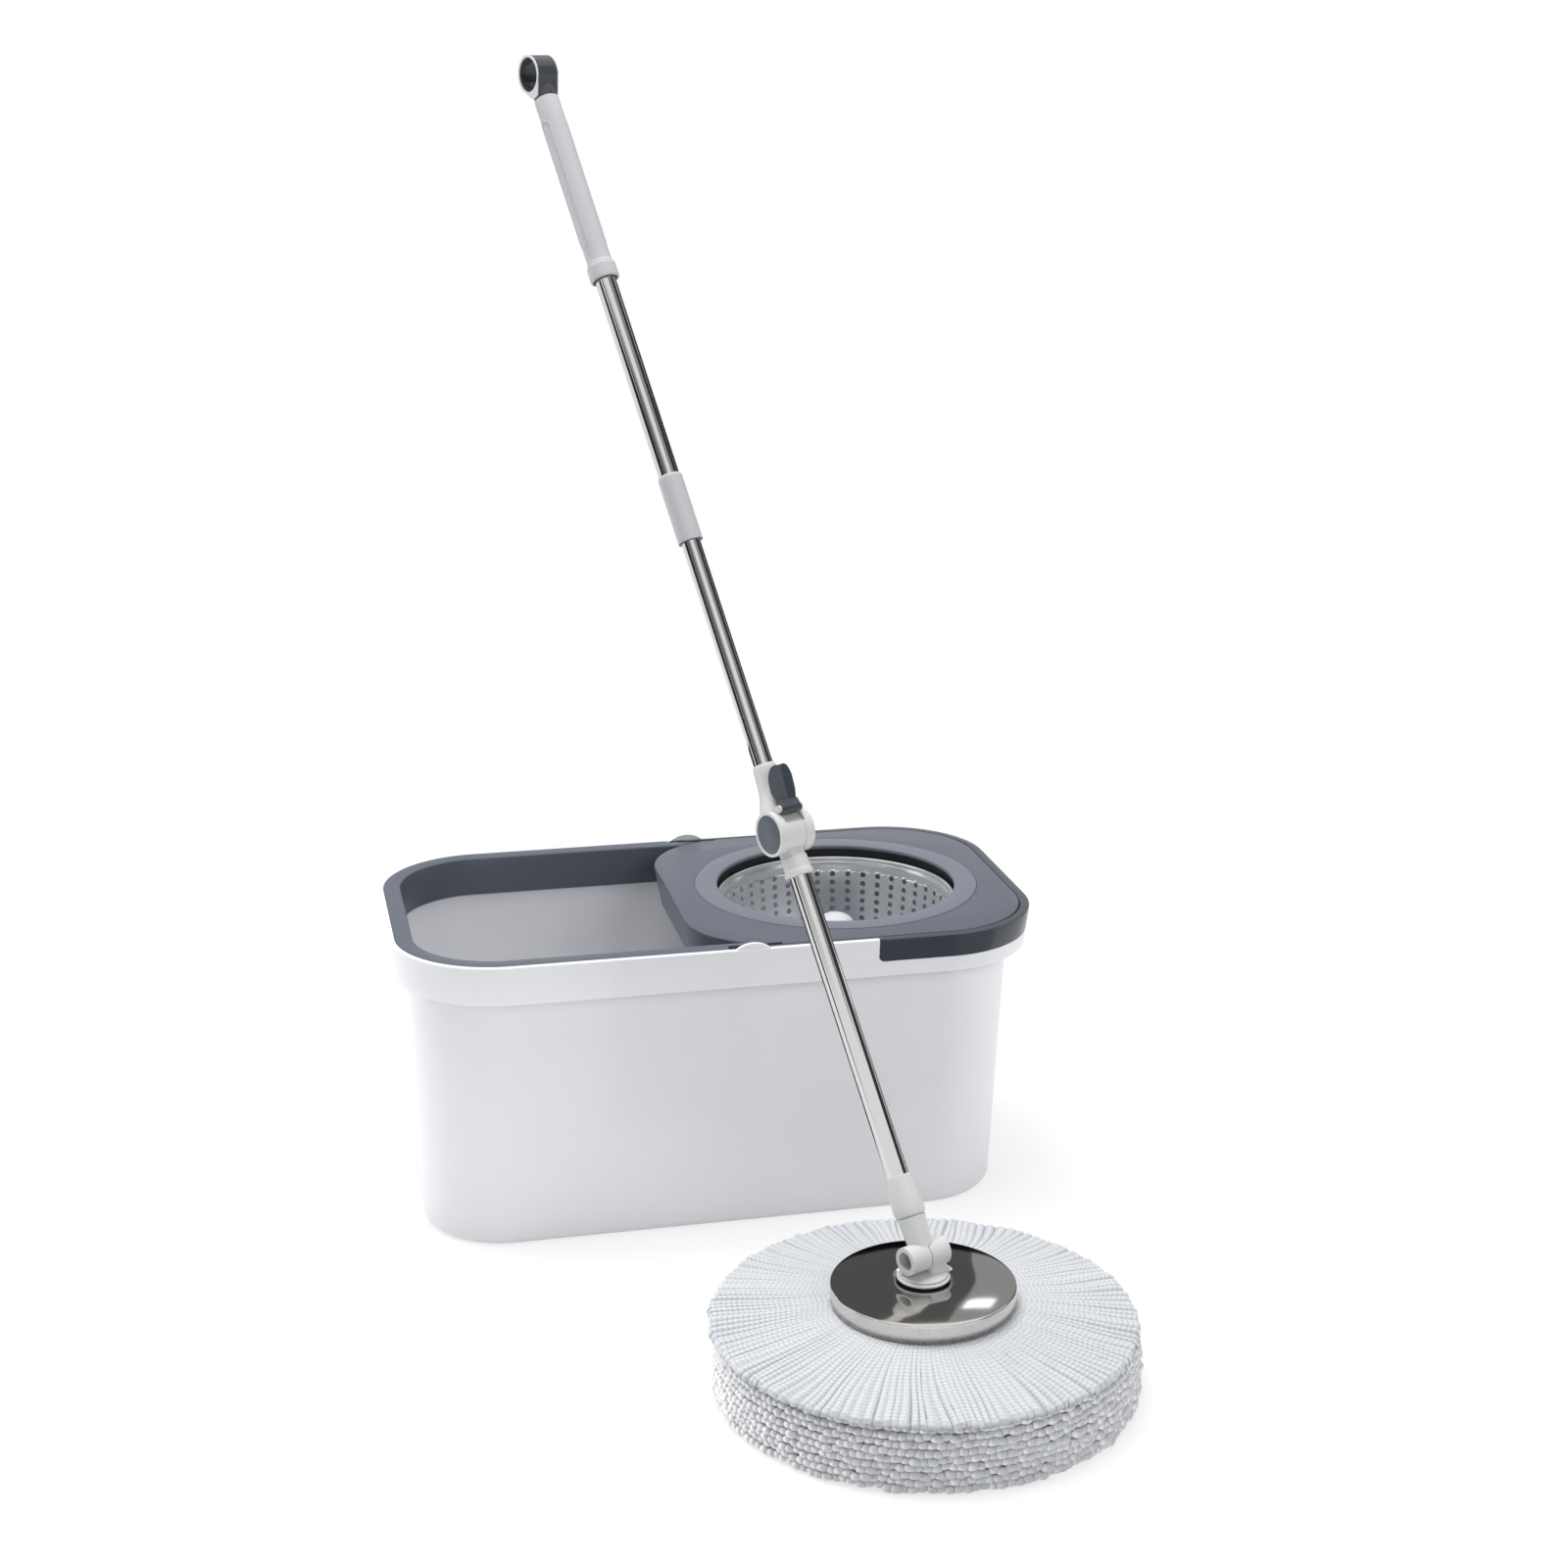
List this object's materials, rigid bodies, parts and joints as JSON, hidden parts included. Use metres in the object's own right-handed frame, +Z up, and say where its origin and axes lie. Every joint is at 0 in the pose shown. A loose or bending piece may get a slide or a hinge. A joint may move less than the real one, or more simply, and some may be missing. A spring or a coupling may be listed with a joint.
{
  "type": "spin mop set",
  "caption": "Rectangular bucket with a perforated spin basket and carry handle, and a folding telescopic mop with a round yarn head standing in front.",
  "frame": {"origin": "centre of the bucket's underside, on the floor", "axes": "+X along the bucket towards the basket, -Y towards the mop in front, +Z up"},
  "size_m": [0.546, 0.7312, 0.9487],
  "materials": {
    "white_plastic": "satin white",
    "slate_plastic": "satin grey",
    "pale_slate_plastic": "satin pale grey",
    "dark_plastic": "glossy dark grey",
    "joint_plastic": "satin light grey",
    "polished_steel": "polished stainless",
    "basket_steel": "pressed stainless",
    "dark_steel": "plain",
    "bronze": "sintered",
    "yarn": "white microfibre"
  },
  "bodies": {
    "bucket": {"bucket_shell": "white_plastic", "rim_frame": "slate_plastic", "basket_deck": "slate_plastic", "collar_ring": "pale_slate_plastic", "pedestal": "slate_plastic", "spindle": "polished_steel", "thrust_washer": "polished_steel", "handle_pin_front": "white_plastic", "handle_pin_back": "white_plastic"},
    "handle": {"carry_handle": "dark_plastic"},
    "basket": {"spin_basket": "basket_steel", "basket_hub": "pale_slate_plastic", "hub_dome": "white_plastic", "hub_bush": "bronze"},
    "mop_head": {"yarn_head": "yarn", "yarn_ring": "white_plastic", "head_plate": "white_plastic", "steel_cover": "polished_steel", "yoke": "joint_plastic", "yoke_screw": "dark_steel", "tilt_pin": "polished_steel"},
    "lower_pole": {"pole_knuckle": "joint_plastic", "ferrule": "joint_plastic", "lower_tube": "polished_steel", "hinge_lower": "joint_plastic"},
    "middle_pole": {"hinge_upper": "joint_plastic", "hinge_cap_left": "slate_plastic", "hinge_cap_right": "slate_plastic", "fold_pin": "polished_steel", "lever_pin": "polished_steel", "middle_tube": "polished_steel", "nut_housing": "dark_plastic"},
    "lever": {"lock_lever": "dark_plastic"},
    "nut": {"drive_nut": "dark_steel"},
    "upper_pole": {"upper_tube": "polished_steel", "guide_bush": "dark_plastic", "rod_plug": "dark_plastic", "spiral_rod": "dark_steel", "grip": "white_plastic", "hang_loop": "dark_plastic"},
    "twist_lock": {"lock_sleeve": "joint_plastic"}
  },
  "joints": [
    {"name": "handle_swing", "type": "hinge", "parent": "bucket", "child": "handle", "pos_m": [0.0145, 0, 0.244], "axis": [0, -1, 0], "range_deg": [0, 90]},
    {"name": "basket_spin", "type": "hinge", "parent": "bucket", "child": "basket", "pos_m": [0.12, 0, 0.15], "axis": [0, 0, 1], "continuous": true},
    {"name": "mop_lift", "type": "slide", "parent": "bucket", "child": "mop_head", "axis": [0, 0, 1], "range_m": [0, 0.45]},
    {"name": "pole_tilt", "type": "hinge", "parent": "mop_head", "child": "lower_pole", "pos_m": [0.0856, -0.4173, 0.1008], "axis": [0.9135, 0.4067, 0], "range_deg": [-15, 105]},
    {"name": "pole_fold", "type": "hinge", "parent": "lower_pole", "child": "middle_pole", "pos_m": [0.01616, -0.26133, 0.38495], "axis": [0.9135, 0.4067, 0], "range_deg": [0, 90]},
    {"name": "lever_flip", "type": "hinge", "parent": "middle_pole", "child": "lever", "pos_m": [0.01833, -0.26622, 0.40555], "axis": [0.9135, 0.4067, 0], "range_deg": [0, 45]},
    {"name": "telescope", "type": "slide", "parent": "middle_pole", "child": "upper_pole", "axis": [-0.2095, 0.4705, 0.8572], "range_m": [-0.18, 0]},
    {"name": "nut_spin", "type": "hinge", "parent": "middle_pole", "child": "nut", "pos_m": [-0.04847, -0.11617, 0.64939], "axis": [-0.2095, 0.4705, 0.8572], "range_deg": [0, 722]},
    {"name": "lock_twist", "type": "hinge", "parent": "upper_pole", "child": "twist_lock", "pos_m": [-0.04009, -0.13499, 0.6151], "axis": [-0.2095, 0.4705, 0.8572], "range_deg": [0, 60]}
  ],
  "couplings": [
    {"joint": "nut_spin", "follows": "telescope", "rad_per_m": -69.813}
  ]
}
